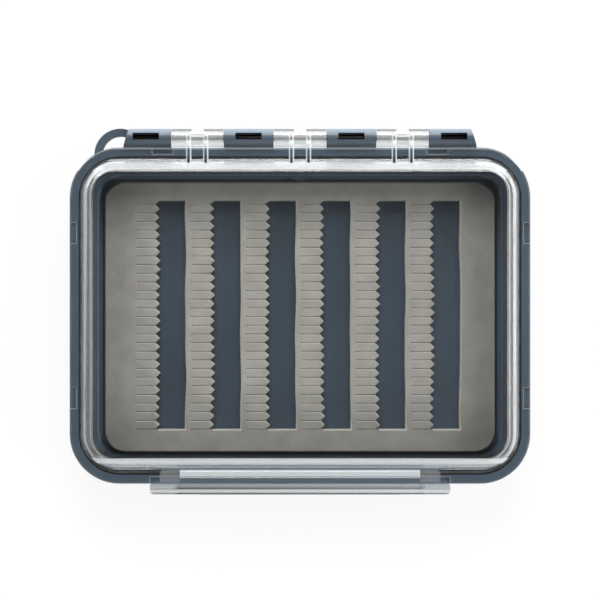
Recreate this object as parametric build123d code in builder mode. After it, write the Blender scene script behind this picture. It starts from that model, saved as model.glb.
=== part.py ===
from build123d import *
import os
from math import tan, radians

# ---------------------------------------------------------------------------
# Pocket fly box: a moulded tray with a clear hinged lid, a seal in its rim,
# a slit foam sheet on its floor and a clear snap latch along its front.
# Millimetres. Origin at the middle of the tray's underside, +Z up,
# +Y towards the hinge, X along the hinge pin.
# ---------------------------------------------------------------------------

# Tray: rim, walls and floor
rim_length = 120.0          # X, over the rim
rim_width = 87.6            # Y, over the rim
rim_radius = 13.0           # plan radius of the rim's corners
rim_thickness = 3.0
tray_height = 15.5          # underside to the sealing land
wall = 1.8
floor_thickness = 1.8
wall_draft = 7.0            # degrees, so that the tray leaves its mould
floor_chamfer = 0.8         # between the walls and the floor, inside
bottom_chamfer = 1.8        # round the outside of the floor
nub_radius = 3.6            # half-round nub at the foot of the rear wall
nub_reach = 0.9
nub_height = 2.0
edge_chamfer = 0.35         # on the edges of the rim and of the lid's flange
embed = 0.7                 # how far a neck, rib or lip runs into what carries it

# Seal: lands and groove, from the rim's edge inwards
outer_land = 2.25
groove_width = 1.5
inner_land = 1.75
groove_depth = 1.6
seal_width = 1.3            # of its section, as wide as it is high
seal_chamfer = 0.35         # on its upper edges
seal_seat_gap = 0.02        # the seal above the bottom of its groove
press_rib_width = 1.0       # rib under the lid, over the groove
press_rib_gap = 0.1         # rib to seal

# Lid: flange and raised window
lid_gap = 0.15              # land to the underside of the flange
flange_thickness = 1.6
window_rise = 4.3           # flange to the top of the window
window_draft = 33.0         # degrees, of its sloping wall
hollow_draft = 25.0         # degrees, of the same wall inside
window_wall = 1.5           # in plan, level with the flange's top
window_roof = 1.5
window_side_margin = 3.4    # rim's edge to the foot of the window
window_rear_margin = 3.45
window_front_margin = 3.95
window_radius = 9.0         # plan radius at the foot
window_edge_round = 0.8
window_foot_round = 1.4

# Lugs under the lid that find the pockets in the tray's outer land
lug_length = 5.5
lug_depth = 0.4
lug_reach = 1.75            # from the rim's edge inwards
lug_fit = 0.1               # clearance round a lug
pocket_depth = 0.6
side_lug_spacing = 43.0     # along Y, the two on each side
rear_lug_spacing = 71.6     # along X, the two at the hinge
front_lug_outset = 0.15     # past each end of the latch

# Rear hinge
hinge_reach = 2.55          # rim's edge to the pin's axis
knuckle_radius = 2.4
barrel_space = 13.8         # between two tray knuckles
knuckle_width = 12.95
outer_knuckle_width = 12.5
outer_knuckle_slant = 1.55  # how far its free end leans in
barrel_end_gap = 0.15
pin_diameter = 1.6
pin_end_inset = 1.95        # pin's ends inside the ends of the outer knuckles
pin_clearance = 0.05        # radial
pin_stop = 0.3              # blind end of the bore past the pin
knuckle_window_length = 6.85
knuckle_window_width = 1.75
knuckle_window_shift = 0.375
barrel_window_length = 3.2
rib_spacing = 4.45          # two ribs from over each barrel to the window
rib_width = 1.35
rib_rise = 1.0              # above the lid's flange
rib_rear_reach = 0.95       # past the pin's axis
rib_chamfer = 0.35          # on its upper edges
bridge_width = 0.9          # joins the two ribs over each outer barrel

# Lanyard loop at the rear left corner
loop_radius = 6.8
loop_bar = 2.0
loop_outset = 0.75          # centre past the end of the left outer knuckle
loop_inset = 1.8            # centre in front of the rim's rear edge

# Latch and its pin; the end insets are from the latch's ends
latch_length = 78.0
latch_wall = 1.57
latch_clear = 1.1           # rim's edge to the latch's front wall
latch_end_round = 1.2
jaw_end_inset = 7.85
jaw_thickness = 1.6
jaw_inset = 3.73            # how far the jaw reaches in over the lid
web_inset = 0.57            # how far the latch's full length reaches in
jaw_gap = 0.1               # jaw to the catch land
nose_width = 2.1
nose_rise = 0.55
nose_round = 0.5
bead_width = 0.7            # at its root
bead_tip = 0.2              # flat of its tip, the rest slopes
bead_depth = 0.17
ear_length = 7.8
thumb_lip_end_inset = 12.8
thumb_lip_height = 2.0
thumb_lip_proud = 0.4
thumb_lip_drop = 4.2        # below the jaw's underside
pivot_inset = 1.9           # rim's edge to the latch pin's axis
pivot_drop = 2.3            # rim's underside to the latch pin's axis
pivot_radius = 1.5
latch_pin_diameter = 1.5
latch_pin_end_inset = 1.0
hanger_width = 10.0         # of the tray's three hangers for the pin
hanger_ear_gap = 3.2        # outer hanger to the latch's ear

# Catch land on the lid's front flange
catch_end_inset = 2.5       # from the latch's ends
catch_rise = 0.8
catch_inset = 3.8
catch_corner = 1.5
catch_round = 0.75
bead_seat_depth = 0.35
bead_seat_width = 0.9
bead_seat_margin = 0.15     # past each end of the jaw

# Foam sheet and its adhesive film
film_thickness = 0.2
film_inset = 0.3
foam_thickness = 4.5
foam_side_gap = 0.5         # foam to the chamfer round the floor
foam_end_gap = 0.3
foam_radius = 5.2
foam_rows = 6
foam_slot_width = 7.0
slot_left_margin = 14.2     # foam's edge to the first slot
slot_right_margin = 9.1     # last slot to the foam's edge
slot_end_margin = 5.2
slit_count = 27
slit_rear_margin = 0.92     # slot's rear end to the first slit
slit_front_margin = 0.12    # last slit to the slot's front end
bar_width = 1.45            # foam left between a slot and the slits' ends
slit_width = 0.24           # at its mouth, the knife cut closes to nothing
tooth_depth = 1.0
tooth_gap = 1.5             # mouth of the notch between two teeth

# Levels and places that follow from the sizes above
rim_underside = tray_height - rim_thickness
flange_underside = tray_height + lid_gap
flange_top = flange_underside + flange_thickness
window_top = flange_top + window_rise
rear_edge = rim_width / 2
front_edge = -rim_width / 2
seal_inset = outer_land + groove_width / 2
seal_bottom = tray_height - groove_depth + seal_seat_gap
seal_top = seal_bottom + seal_width
cavity_inset = outer_land + groove_width + inner_land
cavity_length = rim_length - 2 * cavity_inset
cavity_width = rim_width - 2 * cavity_inset
cavity_radius = rim_radius - cavity_inset
hinge_y = rear_edge + hinge_reach
hinge_z = tray_height + lid_gap / 2
hinge_pitch = barrel_space + knuckle_width
outer_start = hinge_pitch + barrel_space / 2
outer_end = outer_start + outer_knuckle_width
pin_length = 2 * (outer_end - pin_end_inset)
pin_bore_radius = pin_diameter / 2 + pin_clearance
jaw_length = latch_length - 2 * jaw_end_inset
catch_length = latch_length - 2 * catch_end_inset
thumb_lip_length = latch_length - 2 * thumb_lip_end_inset
latch_pin_length = latch_length - 2 * latch_pin_end_inset
front_lug_length = latch_length + 2 * front_lug_outset
hanger_spacing = latch_length / 2 - ear_length - hanger_ear_gap - hanger_width / 2
pivot_y = front_edge + pivot_inset
pivot_z = rim_underside - pivot_drop
pivot_bore_radius = latch_pin_diameter / 2 + pin_clearance
film_top = floor_thickness + film_thickness
cavity_depth = tray_height - floor_thickness
catch_top = flange_top + catch_rise
jaw_underside = catch_top + jaw_gap
jaw_top = jaw_underside + jaw_thickness
latch_front = front_edge - latch_clear - latch_wall
rib_height = rib_rise + flange_thickness
rib_rear = hinge_y + rib_rear_reach


def shrink(depth, draft=wall_draft):
    """How much a drafted wall moves in over a depth."""
    return depth * tan(radians(draft))


# Foam, from the flat of the floor that carries it
floor_inset = cavity_inset + shrink(cavity_depth) + floor_chamfer
foam_length = rim_length - 2 * (floor_inset + foam_side_gap)
foam_width = rim_width - 2 * (floor_inset + foam_end_gap)
foam_slot_length = foam_width - 2 * slot_end_margin
slots_span = foam_length - slot_left_margin - slot_right_margin
foam_pitch = (slots_span - foam_slot_width) / (foam_rows - 1)
slots_middle = (slot_left_margin - slot_right_margin) / 2
slit_length = foam_pitch - foam_slot_width - tooth_depth - bar_width
slit_pitch = (foam_slot_length - slit_rear_margin - slit_front_margin) / (slit_count - 1)
slits_middle = (slit_front_margin - slit_rear_margin) / 2

# --- tray --------------------------------------------------------------------
shell_inset = cavity_inset + shrink(rim_thickness) - wall

with BuildPart() as base_tray:
    # rim, with the body hanging below it
    with BuildSketch(Plane.XY.offset(rim_underside)):
        RectangleRounded(rim_length, rim_width, rim_radius)
    extrude(amount=rim_thickness)
    with BuildSketch(Plane.XY.offset(rim_underside)):
        RectangleRounded(rim_length - 2 * shell_inset, rim_width - 2 * shell_inset,
                         rim_radius - shell_inset)
    extrude(amount=-rim_underside, taper=wall_draft)
    chamfer(base_tray.edges().group_by(Axis.Z)[0], bottom_chamfer)
    rim_edges = base_tray.faces().filter_by(Axis.Z).sort_by(Axis.Z)[-1].outer_wire().edges()
    chamfer(rim_edges, edge_chamfer)

    # knuckles for the lid's pin, each a barrel with a neck to the rim
    inner_knuckles = [(-hinge_pitch / 2, knuckle_width), (hinge_pitch / 2, knuckle_width)]
    outer_middle = (outer_start + outer_end) / 2
    outer_knuckles = [(-outer_middle, outer_knuckle_width), (outer_middle, outer_knuckle_width)]
    for middle, width in inner_knuckles + outer_knuckles:
        with BuildSketch(Plane.YZ.offset(middle - width / 2)):
            with Locations((hinge_y, hinge_z)):
                Circle(knuckle_radius)
            neck_height = tray_height - (hinge_z - knuckle_radius)
            with Locations((hinge_y, tray_height - neck_height / 2)):
                Rectangle(hinge_reach + embed, neck_height, align=(Align.MAX, Align.CENTER))
        extrude(amount=width)

    # the free ends of the outer knuckles lean in towards the back
    with BuildSketch(Plane.XY.offset(hinge_z - knuckle_radius)):
        for side in (-1, 1):
            back = hinge_y + knuckle_radius
            with BuildLine():
                Polyline((side * outer_end, rear_edge), (side * outer_end, back),
                         (side * (outer_end - outer_knuckle_slant), back), close=True)
            make_face()
    extrude(amount=2 * knuckle_radius, mode=Mode.SUBTRACT)

    # lanyard loop: a round bar from the left knuckle to the rim's corner
    with BuildSketch(Plane.XY.offset(rim_underside)):
        with Locations((-outer_end - loop_outset, rear_edge - loop_inset)):
            Circle(loop_radius)
            Circle(loop_radius - loop_bar, mode=Mode.SUBTRACT)
        loop_end = -outer_end + outer_knuckle_slant + embed
        with Locations((loop_end, rear_edge - loop_inset)):
            Rectangle(2 * loop_radius, 2 * loop_radius, align=(Align.MAX, Align.CENTER),
                      mode=Mode.INTERSECT)
    extrude(amount=rim_thickness)

    # hangers for the latch's pin, under the front rim
    for middle in (-hanger_spacing, 0, hanger_spacing):
        with BuildSketch(Plane.YZ.offset(middle - hanger_width / 2)):
            with Locations((pivot_y, pivot_z)):
                Circle(pivot_radius)
            with Locations((pivot_y - pivot_radius, pivot_z)):
                Rectangle(cavity_inset - pivot_inset + pivot_radius, pivot_drop,
                          align=(Align.MIN, Align.MIN))
        extrude(amount=hanger_width)

    # cavity, seal groove and lug pockets
    with BuildSketch(Plane.XY.offset(tray_height)):
        RectangleRounded(cavity_length, cavity_width, cavity_radius)
    extrude(amount=-cavity_depth, taper=wall_draft, mode=Mode.SUBTRACT)
    cavity_floor = base_tray.faces().filter_by(Axis.Z).sort_by(Axis.Z)[1]
    chamfer(cavity_floor.outer_wire().edges(), floor_chamfer)
    with BuildSketch(Plane.XY.offset(tray_height)):
        RectangleRounded(rim_length - 2 * outer_land, rim_width - 2 * outer_land,
                         rim_radius - outer_land)
        RectangleRounded(cavity_length + 2 * inner_land, cavity_width + 2 * inner_land,
                         cavity_radius + inner_land, mode=Mode.SUBTRACT)
    extrude(amount=-groove_depth, mode=Mode.SUBTRACT)
    with BuildSketch(Plane.XY.offset(tray_height)):
        pocket_reach = 2 * (lug_reach + lug_fit)
        with GridLocations(rim_length, side_lug_spacing, 2, 2):
            Rectangle(pocket_reach, lug_length + 2 * lug_fit)
        with Locations((-rear_lug_spacing / 2, rear_edge), (rear_lug_spacing / 2, rear_edge)):
            Rectangle(lug_length + 2 * lug_fit, lug_reach + lug_fit, align=(Align.CENTER, Align.MAX))
        with Locations((0, front_edge)):
            Rectangle(front_lug_length + 2 * lug_fit, pocket_reach)
    extrude(amount=-pocket_depth, mode=Mode.SUBTRACT)

    # nub at the foot of the rear wall, behind the foam
    with BuildSketch(Plane.XY.offset(floor_thickness)):
        nub_wall = cavity_width / 2 - shrink(cavity_depth)
        with Locations((0, nub_wall - nub_reach + nub_radius)):
            Circle(nub_radius)
        with Locations((0, nub_wall + embed)):
            Rectangle(2 * nub_radius, 2 * nub_radius, align=(Align.CENTER, Align.MAX),
                      mode=Mode.INTERSECT)
    extrude(amount=nub_height)

    # bores for both pins; the lid's pin goes in from the right
    with BuildSketch(Plane.YZ.offset(-pin_length / 2 - pin_stop)):
        with Locations((hinge_y, hinge_z)):
            Circle(pin_bore_radius)
    extrude(amount=rim_length, mode=Mode.SUBTRACT)
    with BuildSketch(Plane.YZ.offset(-latch_length / 2)):
        with Locations((pivot_y, pivot_z)):
            Circle(pivot_bore_radius)
    extrude(amount=latch_length, mode=Mode.SUBTRACT)

    # moulding windows in the knuckles, down to the pin
    with BuildSketch(Plane.XY.offset(hinge_z)):
        with Locations((0, hinge_y + knuckle_window_shift)):
            with GridLocations(hinge_pitch, 0, 4, 1):
                Rectangle(knuckle_window_length, knuckle_window_width)
    extrude(amount=knuckle_radius, mode=Mode.SUBTRACT)

# --- seal --------------------------------------------------------------------
with BuildPart() as o_ring_seal:
    with BuildSketch(Plane.XY.offset(seal_bottom)):
        for grow, mode in ((seal_width / 2, Mode.ADD), (-seal_width / 2, Mode.SUBTRACT)):
            RectangleRounded(rim_length - 2 * seal_inset + 2 * grow,
                             rim_width - 2 * seal_inset + 2 * grow,
                             rim_radius - seal_inset + grow, mode=mode)
    extrude(amount=seal_width)
    chamfer(o_ring_seal.faces().sort_by(Axis.Z)[-1].edges(), seal_chamfer)

# --- adhesive film and foam --------------------------------------------------
slot_offsets = [slots_middle + foam_pitch * (row - (foam_rows - 1) / 2)
                for row in range(foam_rows)]
foam_base = Plane.XY.offset(film_top)

with BuildPart() as adhesive_film:
    with BuildSketch(Plane.XY.offset(floor_thickness)):
        RectangleRounded(foam_length - 2 * film_inset, foam_width - 2 * film_inset,
                         foam_radius - film_inset)
        with Locations(*[(x - tooth_depth / 2, 0) for x in slot_offsets]):
            Rectangle(foam_slot_width + tooth_depth + 2 * film_inset,
                      foam_slot_length + 2 * film_inset, mode=Mode.SUBTRACT)
    extrude(amount=film_thickness)

with BuildPart() as slit_foam:
    with BuildSketch(foam_base):
        RectangleRounded(foam_length, foam_width, foam_radius)
        with Locations(*[(x, 0) for x in slot_offsets]):
            Rectangle(foam_slot_width, foam_slot_length, mode=Mode.SUBTRACT)
        # a notch with a knife slit at its root, between each pair of teeth
        with Locations((slots_middle - foam_slot_width / 2, slits_middle)):
            with GridLocations(foam_pitch, slit_pitch, foam_rows, slit_count):
                Polygon((0, tooth_gap / 2), (-tooth_depth, slit_width / 2),
                        (-tooth_depth - slit_length, 0), (-tooth_depth, -slit_width / 2),
                        (0, -tooth_gap / 2), align=None, mode=Mode.SUBTRACT)
    extrude(amount=foam_thickness)

# --- lid ---------------------------------------------------------------------
window_length = rim_length - 2 * window_side_margin
window_width = rim_width - window_rear_margin - window_front_margin
window_y = (window_front_margin - window_rear_margin) / 2
hollow_inset = window_wall - shrink(flange_thickness, hollow_draft)

with BuildPart() as lid:
    with BuildSketch(Plane.XY.offset(flange_underside)):
        RectangleRounded(rim_length, rim_width, rim_radius)
    extrude(amount=flange_thickness)
    chamfer(lid.faces().sort_by(Axis.Z)[-1].outer_wire().edges(), edge_chamfer)

    # raised window
    with BuildSketch(Plane.XY.offset(flange_top)):
        with Locations((0, window_y)):
            RectangleRounded(window_length, window_width, window_radius)
    extrude(amount=window_rise, taper=window_draft)
    fillet(lid.faces().sort_by(Axis.Z)[-1].outer_wire().edges(), window_edge_round)
    flange_face = lid.faces().filter_by(Axis.Z).sort_by(Axis.Z)[-2]
    fillet(flange_face.inner_wires()[0].edges(), window_foot_round)

    # catch land along the front flange
    with BuildSketch(Plane.XY.offset(flange_top - embed)):
        with Locations((0, front_edge + catch_inset / 2)):
            catch = Rectangle(catch_length, catch_inset)
        fillet(catch.vertices().group_by(Axis.Y)[-1], catch_corner)
    extrude(amount=catch_rise + embed)
    catch_face = lid.faces().filter_by(Axis.Z).sort_by(Axis.Z)[-2]
    fillet(catch_face.edges().sort_by(Axis.Y)[0], catch_round)
    with BuildSketch(Plane.XY.offset(catch_top)):
        with Locations((0, front_edge + catch_inset)):
            Rectangle(jaw_length + 2 * bead_seat_margin, bead_seat_width,
                      align=(Align.CENTER, Align.MAX))
    extrude(amount=-bead_seat_depth, mode=Mode.SUBTRACT)

    # barrels on the tray's pin, with necks
    barrel_width = barrel_space - 2 * barrel_end_gap
    for middle in (-hinge_pitch, 0, hinge_pitch):
        with BuildSketch(Plane.YZ.offset(middle - barrel_width / 2)):
            with Locations((hinge_y, hinge_z)):
                Circle(knuckle_radius)
            with Locations((hinge_y, flange_underside)):
                Rectangle(hinge_reach + embed, flange_thickness,
                          align=(Align.MAX, Align.MIN))
        extrude(amount=barrel_width)

    # two ribs over each barrel, that run to the foot of the window
    with BuildSketch(Plane.XZ.offset(-rib_rear)):
        with Locations((0, flange_underside + rib_height / 2)):
            with GridLocations(hinge_pitch, 0, 3, 1):
                with GridLocations(rib_spacing, 0, 2, 1):
                    ribs = Rectangle(rib_width, rib_height)
        chamfer(ribs.vertices().group_by(Axis.Y)[-1], rib_chamfer)
    rib_foot = rear_edge - window_rear_margin - shrink(rib_rise, window_draft)
    extrude(amount=rib_rear - rib_foot + embed)
    for side in (-1, 1):
        with BuildSketch(Plane.YZ.offset(side * hinge_pitch - rib_spacing / 2)):
            with Locations((rib_rear, flange_underside)):
                bridge = Rectangle(bridge_width, rib_height, align=(Align.MAX, Align.MIN))
            chamfer(bridge.vertices().group_by(Axis.Y)[-1], rib_chamfer)
        extrude(amount=rib_spacing)

    # hollow under the window
    with BuildSketch(Plane.XY.offset(flange_underside)):
        with Locations((0, window_y)):
            RectangleRounded(window_length - 2 * hollow_inset, window_width - 2 * hollow_inset,
                             window_radius - hollow_inset)
    extrude(amount=flange_thickness + window_rise - window_roof, taper=hollow_draft,
            mode=Mode.SUBTRACT)

    # rib that presses the seal, and the lugs
    with BuildSketch(Plane.XY.offset(flange_underside)):
        rib_outer = seal_inset - press_rib_width / 2
        rib_inner = seal_inset + press_rib_width / 2
        RectangleRounded(rim_length - 2 * rib_outer, rim_width - 2 * rib_outer,
                         rim_radius - rib_outer)
        RectangleRounded(rim_length - 2 * rib_inner, rim_width - 2 * rib_inner,
                         rim_radius - rib_inner, mode=Mode.SUBTRACT)
    extrude(amount=-(flange_underside - seal_top - press_rib_gap))
    with BuildSketch(Plane.XY.offset(flange_underside)):
        with Locations((-rim_length / 2 + lug_reach / 2, 0), (rim_length / 2 - lug_reach / 2, 0)):
            with GridLocations(0, side_lug_spacing, 1, 2):
                Rectangle(lug_reach, lug_length)
        with Locations((-rear_lug_spacing / 2, rear_edge), (rear_lug_spacing / 2, rear_edge)):
            Rectangle(lug_length, lug_reach, align=(Align.CENTER, Align.MAX))
        with Locations((0, front_edge)):
            Rectangle(front_lug_length, lug_reach, align=(Align.CENTER, Align.MIN))
    extrude(amount=-lug_depth)

    # bore for the pin, and the moulding windows under the barrels
    with BuildSketch(Plane.YZ.offset(-rim_length / 2)):
        with Locations((hinge_y, hinge_z)):
            Circle(pin_bore_radius)
    extrude(amount=rim_length, mode=Mode.SUBTRACT)
    with BuildSketch(Plane.XY.offset(hinge_z)):
        with Locations((0, hinge_y)):
            with GridLocations(hinge_pitch, 0, 3, 1):
                Rectangle(barrel_window_length, knuckle_window_width)
    extrude(amount=-knuckle_radius, mode=Mode.SUBTRACT)

# --- latch -------------------------------------------------------------------
with BuildPart() as latch:
    # front wall, and the web over its top, over the whole length
    with BuildSketch(Plane.YZ.offset(-latch_length / 2)):
        with Locations((latch_front, pivot_z - pivot_radius)):
            Rectangle(latch_wall, jaw_top - pivot_z + pivot_radius, align=(Align.MIN, Align.MIN))
        with Locations((latch_front, jaw_underside)):
            Rectangle(latch_wall + latch_clear + web_inset, jaw_thickness,
                      align=(Align.MIN, Align.MIN))
    extrude(amount=latch_length)

    # jaw, with a thick nose and a bead that snaps behind the catch land
    with BuildSketch(Plane.YZ.offset(-jaw_length / 2)):
        with Locations((front_edge + jaw_inset, jaw_underside)):
            Rectangle(jaw_inset, jaw_thickness, align=(Align.MAX, Align.MIN))
            Rectangle(nose_width, jaw_thickness + nose_rise, align=(Align.MAX, Align.MIN))
        bead_back = front_edge + jaw_inset
        Polygon((bead_back, jaw_underside - bead_depth),
                (bead_back - bead_tip, jaw_underside - bead_depth),
                (bead_back - bead_width, jaw_underside), (bead_back, jaw_underside), align=None)
    extrude(amount=jaw_length)

    # ears on the latch's pin
    for side in (-1, 1):
        ear_middle = side * (latch_length - ear_length) / 2
        with BuildSketch(Plane.YZ.offset(ear_middle - ear_length / 2)):
            with Locations((pivot_y, pivot_z)):
                Circle(pivot_radius)
                Rectangle(pivot_y - latch_front, 2 * pivot_radius, align=(Align.MAX, Align.CENTER))
        extrude(amount=ear_length)

    # soft outer edges, rounded ends of the web and of the nose
    fillet(latch.faces().sort_by(Axis.Y)[0].outer_wire().edges(), latch_end_round)
    web_ends = latch.edges().filter_by(Axis.Z).group_by(Axis.X)
    fillet(web_ends[0].sort_by(Axis.Z)[-1], latch_end_round)
    fillet(web_ends[-1].sort_by(Axis.Z)[-1], latch_end_round)
    nose_top = latch.faces().filter_by(Axis.Z).sort_by(Axis.Z)[-1]
    fillet(nose_top.edges().filter_by(Axis.X), nose_round)

    # thumb lip
    with BuildSketch(Plane.XY.offset(jaw_underside - thumb_lip_drop)):
        with BuildLine():
            lip_root = thumb_lip_length / 2 + thumb_lip_proud
            Polyline((-lip_root, latch_front), (-thumb_lip_length / 2, latch_front - thumb_lip_proud),
                     (thumb_lip_length / 2, latch_front - thumb_lip_proud), (lip_root, latch_front),
                     (lip_root, latch_front + embed), (-lip_root, latch_front + embed),
                     close=True)
        make_face()
    extrude(amount=-thumb_lip_height)

    with BuildSketch(Plane.YZ.offset(-latch_length / 2)):
        with Locations((pivot_y, pivot_z)):
            Circle(pivot_bore_radius)
    extrude(amount=latch_length, mode=Mode.SUBTRACT)

# --- pins --------------------------------------------------------------------
with BuildPart() as hinge_pin:
    with BuildSketch(Plane.YZ.offset(-pin_length / 2)):
        with Locations((hinge_y, hinge_z)):
            Circle(pin_diameter / 2)
    extrude(amount=pin_length)

with BuildPart() as latch_pin:
    with BuildSketch(Plane.YZ.offset(-latch_pin_length / 2)):
        with Locations((pivot_y, pivot_z)):
            Circle(latch_pin_diameter / 2)
    extrude(amount=latch_pin_length)

# --- export ------------------------------------------------------------------
pieces = {
    "base_tray": base_tray,
    "o_ring_seal": o_ring_seal,
    "adhesive_film": adhesive_film,
    "slit_foam": slit_foam,
    "lid": lid,
    "latch": latch,
    "hinge_pin": hinge_pin,
    "latch_pin": latch_pin,
}
os.makedirs("parts", exist_ok=True)
for label, piece in pieces.items():
    piece.part.label = label
    export_step(piece.part, f"parts/{label}.step")
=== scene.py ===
"""Pocket fly box: slate-blue tray, slit foam, rubber seal, clear lid and clear snap latch.

The classes and their shapes are in millimetres; finished_piece turns a shape to metres.
"""
import logging
import math
import random
from dataclasses import dataclass
from enum import Enum
from functools import cached_property
from typing import Dict, List, Optional, Sequence, Tuple, Union

import bmesh
import bpy
from mathutils import Matrix, Vector, noise


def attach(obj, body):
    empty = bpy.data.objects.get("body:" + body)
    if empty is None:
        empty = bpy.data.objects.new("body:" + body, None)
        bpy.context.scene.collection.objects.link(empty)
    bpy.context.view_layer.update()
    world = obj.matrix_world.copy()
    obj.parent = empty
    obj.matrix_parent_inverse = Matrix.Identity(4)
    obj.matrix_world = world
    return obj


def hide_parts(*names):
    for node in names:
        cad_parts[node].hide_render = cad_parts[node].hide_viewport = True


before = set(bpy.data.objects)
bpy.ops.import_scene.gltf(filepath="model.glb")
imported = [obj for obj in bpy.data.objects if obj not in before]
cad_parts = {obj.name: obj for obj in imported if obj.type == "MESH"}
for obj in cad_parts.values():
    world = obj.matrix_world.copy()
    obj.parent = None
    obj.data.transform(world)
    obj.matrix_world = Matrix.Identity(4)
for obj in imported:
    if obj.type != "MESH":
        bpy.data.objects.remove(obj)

LOG = logging.getLogger("fly_box")
MM = 0.001
TINY = 0.002                    # millimetres; points nearer than this are one point
WELD = 0.01                     # millimetres; levels nearer than this are one level
SQUARE = 0.9                    # a unit normal with more than this along an axis faces along it
FLAT = 0.9999                   # the same for a face that is level
CRISP = 0.1                     # millimetres over which a crisp limit of a zone fades
WHITE = (1.0, 1.0, 1.0, 1.0)
SocketKey = Union[str, int]
Point = Tuple[float, float, float]
Pair = Tuple[float, float]
Tree = bpy.types.NodeTree
Socket = bpy.types.NodeSocket
Sockets = bpy.types.bpy_prop_collection
Material = bpy.types.Material
Piece = bpy.types.Object
Shape = bmesh.types.BMesh


class Slot(Enum):
    """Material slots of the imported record."""

    TRAY = "slate_blue_plastic"
    CLEAR = "clear_plastic"
    SEAL = "seal_rubber"
    FOAM = "grey_foam"
    FILM = "adhesive_film"
    STEEL = "steel_pin"


class Body(Enum):
    """Bodies that the pieces ride on."""

    TRAY = "tray"
    LID = "lid"
    LATCH = "latch"


# --- helpers -----------------------------------------------------------------
def linear(code: str) -> Tuple[float, ...]:
    """Turns an sRGB hex value to a linear colour.

    Args:
        code: Six hex digits after a #.

    Returns:
        Red, green and blue in linear light, and an alpha of 1.
    """
    channels = [int(code[start:start + 2], 16) / 255 for start in (1, 3, 5)]
    straight = [c / 12.92 if c <= 0.04045 else ((c + 0.055) / 1.055) ** 2.4 for c in channels]
    return (*straight, 1.0)


def add_node(tree: Tree, kind: str,
             inputs: Optional[Dict[SocketKey, object]] = None, **settings: object) -> bpy.types.Node:
    """Adds a node with its settings, and sets or links its inputs.

    Args:
        tree: Node tree that gets the node.
        kind: Blender's name of the node type.
        inputs: Values or output sockets by the input's name or number.
        **settings: Properties of the node.

    Returns:
        The new node.
    """
    node = tree.nodes.new(kind)
    for name, value in settings.items():
        setattr(node, name, value)
    for key, value in (inputs or {}).items():
        if isinstance(value, Socket):
            tree.links.new(value, node.inputs[key])
        else:
            node.inputs[key].default_value = value
    return node


@dataclass(frozen=True)
class Slope:
    """A level that runs from bottom to top while a value runs from start to end."""

    value: Socket
    start: float
    end: float
    top: float = 1.0
    bottom: float = 0.0
    curve: str = "LINEAR"


Zone = Sequence[Slope]          # a zone's level is the product of its slopes


def most_of(tree: Tree, *zones: Zone) -> Socket:
    """Adds the nodes for the highest level among several zones.

    Args:
        tree: Node tree that gets the nodes.
        *zones: The zones; no slope of theirs goes below 0.

    Returns:
        Socket with the level.
    """
    most: object = 0.0
    for zone in zones:
        level: object = 1.0
        for slope in zone:
            step = add_node(tree, "ShaderNodeMapRange",
                            {"Value": slope.value, "From Min": slope.start, "From Max": slope.end,
                             "To Min": slope.bottom, "To Max": slope.top},
                            interpolation_type=slope.curve)
            level = add_node(tree, "ShaderNodeMath", {0: step.outputs[0], 1: level},
                             operation="MULTIPLY").outputs[0]
        most = add_node(tree, "ShaderNodeMath", {0: level, 1: most}, operation="MAXIMUM").outputs[0]
    return most


def coated(tree: Tree, bottom: object, *coats: Tuple[str, Sequence[Zone]]) -> Socket:
    """Adds the nodes for coats of colour that lie over one another.

    Args:
        tree: Node tree that gets the nodes.
        bottom: The lowest colour, as a linear colour or a socket.
        *coats: The sRGB hex value of each coat, with the zones that say how much it covers.

    Returns:
        Socket with the colour.
    """
    colour = bottom
    for code, zones in coats:
        colour = add_node(tree, "ShaderNodeMix",
                          {0: most_of(tree, *zones), 6: colour, 7: linear(code)},
                          data_type="RGBA").outputs[2]
    return colour


@dataclass
class Spot:
    """A point that a finish shades; the nodes that describe it are added when first needed."""

    tree: Tree

    @cached_property
    def where(self) -> Socket:
        """Object coordinates, in metres."""
        return add_node(self.tree, "ShaderNodeTexCoord").outputs["Object"]

    @cached_property
    def millimetres(self) -> Socket:
        """Object coordinates, in millimetres."""
        return add_node(self.tree, "ShaderNodeVectorMath", {0: self.where, "Scale": 1.0 / MM},
                        operation="SCALE").outputs[0]

    @cached_property
    def normal(self) -> Socket:
        """The surface's normal, in the object's frame."""
        outside = add_node(self.tree, "ShaderNodeNewGeometry").outputs["True Normal"]
        return add_node(self.tree, "ShaderNodeVectorTransform", {0: outside},
                        vector_type="NORMAL", convert_from="WORLD",
                        convert_to="OBJECT").outputs[0]

    @cached_property
    def place(self) -> Sockets:
        """X, Y and Z in millimetres."""
        return add_node(self.tree, "ShaderNodeSeparateXYZ", {0: self.millimetres}).outputs

    @cached_property
    def away(self) -> Sockets:
        """X, Y and Z in millimetres, without sign."""
        size = add_node(self.tree, "ShaderNodeVectorMath", {0: self.millimetres},
                        operation="ABSOLUTE")
        return add_node(self.tree, "ShaderNodeSeparateXYZ", {0: size.outputs[0]}).outputs

    @cached_property
    def facing(self) -> Sockets:
        """X, Y and Z of the normal."""
        return add_node(self.tree, "ShaderNodeSeparateXYZ", {0: self.normal}).outputs

    @cached_property
    def tilt(self) -> Sockets:
        """X, Y and Z of the normal, without sign."""
        size = add_node(self.tree, "ShaderNodeVectorMath", {0: self.normal}, operation="ABSOLUTE")
        return add_node(self.tree, "ShaderNodeSeparateXYZ", {0: size.outputs[0]}).outputs


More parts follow.
